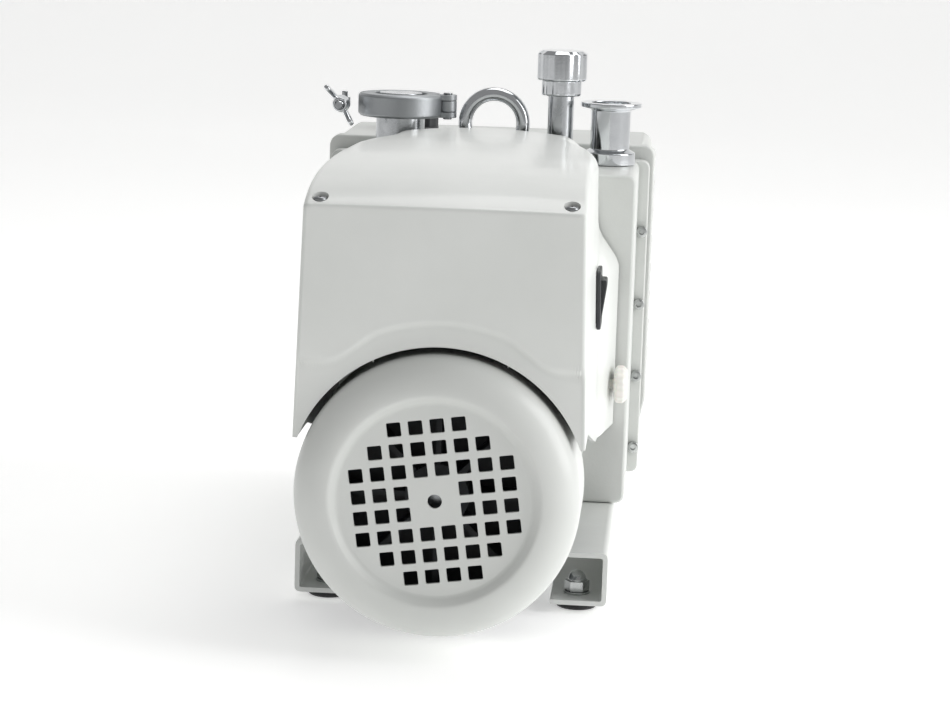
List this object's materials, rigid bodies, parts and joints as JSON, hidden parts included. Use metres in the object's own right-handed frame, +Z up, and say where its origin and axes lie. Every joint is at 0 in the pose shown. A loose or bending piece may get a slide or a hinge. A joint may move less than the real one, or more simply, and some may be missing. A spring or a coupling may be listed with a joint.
{
  "type": "rotary vane vacuum pump",
  "caption": "Direct-drive rotary vane vacuum pump with fan-cooled motor, white cover, cast block, ribbed oil case and flanged ports on top.",
  "frame": {"origin": "on the floor, under the middle of the whole object's box", "axes": "+Z up; +Y along the drive shaft, from the motor's fan cowl to the oil case; +X towards the switch side"},
  "size_m": [0.22, 0.495, 0.3233],
  "materials": {
    "white_paint": "glossy powder paint, near white",
    "cowl_paint": "satin enamel, pale grey",
    "cast_paint": "satin enamel on a casting, pale grey",
    "black_plastic": "moulded, fine grain",
    "rubber": "matt moulded",
    "cast_aluminium": "die cast, satin",
    "laminations": "stamped sheet edges",
    "copper_winding": "varnished copper wire",
    "steel": "turned, bright",
    "cast_iron": "machined, oily",
    "stainless": "turned, fine lines",
    "chrome": "polished",
    "spider_rubber": "matt moulded",
    "seal_rubber": "matt moulded",
    "vane_composite": "ground fibre composite",
    "gasket": "pressed sheet",
    "sight_glass": "clear, polished",
    "white_nylon": "moulded, glossy"
  },
  "bodies": {
    "root": {"base_frame": "white_paint", "foot_front_left": "rubber", "foot_front_right": "rubber", "foot_rear_left": "rubber", "foot_rear_right": "rubber", "fan_cowl": "cowl_paint", "motor_frame": "cast_aluminium", "end_shield_fan_side": "cast_aluminium", "end_shield_drive_side": "cast_aluminium", "stator_core": "laminations", "winding_fan_side": "copper_winding", "winding_drive_side": "copper_winding", "bearing_fan_side": "steel", "bearing_drive_side": "steel", "terminal_box": "black_plastic", "bell_housing": "cast_paint", "motor_cover": "white_paint", "cover_screw_left": "steel", "cover_screw_right": "steel", "switch_bezel": "black_plastic", "power_inlet": "black_plastic", "pump_block": "cast_paint", "shaft_seal": "seal_rubber", "high_vacuum_stator": "cast_iron", "middle_plate": "cast_iron", "low_vacuum_stator": "cast_iron", "end_plate": "cast_iron", "case_gasket": "gasket", "oil_case": "cast_paint", "sight_glass_bezel": "chrome", "sight_glass_lens": "sight_glass", "oil_drain_plug": "steel", "intake_port": "stainless", "centring_ring": "stainless", "intake_blank": "stainless", "clamp_jaw_rear": "cast_aluminium", "clamp_jaw_front": "cast_aluminium", "clamp_hinge_pin": "steel", "exhaust_port": "chrome", "ballast_stem": "stainless", "lifting_eye": "chrome"},
    "drive": {"motor_shaft": "steel", "rotor_core": "laminations", "cooling_fan": "black_plastic", "coupling_motor_half": "cast_aluminium", "coupling_spider": "spider_rubber", "coupling_pump_half": "cast_aluminium", "pump_rotor": "steel"},
    "high_vane_a": {"high_vane_a": "vane_composite"},
    "high_vane_b": {"high_vane_b": "vane_composite"},
    "low_vane_a": {"low_vane_a": "vane_composite"},
    "low_vane_b": {"low_vane_b": "vane_composite"},
    "exhaust_valve_plate": {"exhaust_valve_plate": "steel"},
    "ballast_cap": {"ballast_cap": "chrome"},
    "switch_rocker": {"switch_rocker": "black_plastic"},
    "clamp_swing_bolt": {"clamp_swing_bolt": "steel"},
    "clamp_wing_nut": {"clamp_wing_nut": "chrome"},
    "oil_fill_plug": {"oil_fill_plug": "black_plastic"},
    "cover_knob_right": {"cover_knob_right": "white_nylon"},
    "cover_knob_left": {"cover_knob_left": "white_nylon"}
  },
  "joints": [
    {"name": "drive_spin", "type": "hinge", "parent": "root", "child": "drive", "pos_m": [0, 0, 0.094], "axis": [0, 1, 0], "continuous": true},
    {"name": "high_vane_a_slide", "type": "slide", "parent": "drive", "child": "high_vane_a", "axis": [1, 0, 0], "range_m": [0, 0.0033]},
    {"name": "high_vane_b_slide", "type": "slide", "parent": "drive", "child": "high_vane_b", "axis": [-1, 0, 0], "range_m": [0, 0.0033]},
    {"name": "low_vane_a_slide", "type": "slide", "parent": "drive", "child": "low_vane_a", "axis": [1, 0, 0], "range_m": [0, 0.0033]},
    {"name": "low_vane_b_slide", "type": "slide", "parent": "drive", "child": "low_vane_b", "axis": [-1, 0, 0], "range_m": [0, 0.0033]},
    {"name": "exhaust_valve_lift", "type": "slide", "parent": "root", "child": "exhaust_valve_plate", "axis": [0, 0, 1], "range_m": [0, 0.0012], "stiffness_N_per_m": 200},
    {"name": "ballast_cap_turn", "type": "hinge", "parent": "root", "child": "ballast_cap", "pos_m": [0.0475, 0.0875, 0.3], "axis": [0, 0, 1], "range_deg": [0, 180]},
    {"name": "switch_rock", "type": "hinge", "parent": "root", "child": "switch_rocker", "pos_m": [0.0799, -0.0575, 0.183], "axis": [0, -1, 0], "range_deg": [0, 18]},
    {"name": "clamp_bolt_swing", "type": "hinge", "parent": "root", "child": "clamp_swing_bolt", "pos_m": [-0.096, 0.0935, 0.2842], "axis": [0, 0, -1], "range_deg": [0, 95]},
    {"name": "clamp_nut_spin", "type": "hinge", "parent": "clamp_swing_bolt", "child": "clamp_wing_nut", "pos_m": [-0.096, 0.0935, 0.2842], "axis": [0, 1, 0], "continuous": true},
    {"name": "oil_fill_plug_turn", "type": "hinge", "parent": "root", "child": "oil_fill_plug", "pos_m": [-0.058, 0.1825, 0.26], "axis": [0, 0, 1], "continuous": true},
    {"name": "cover_knob_right_turn", "type": "hinge", "parent": "root", "child": "cover_knob_right", "pos_m": [0.0905, 0.0025, 0.119], "axis": [1, 0, 0], "range_deg": [0, 90]},
    {"name": "cover_knob_left_turn", "type": "hinge", "parent": "root", "child": "cover_knob_left", "pos_m": [-0.0905, 0.0025, 0.119], "axis": [-1, 0, 0], "range_deg": [0, 90]}
  ]
}
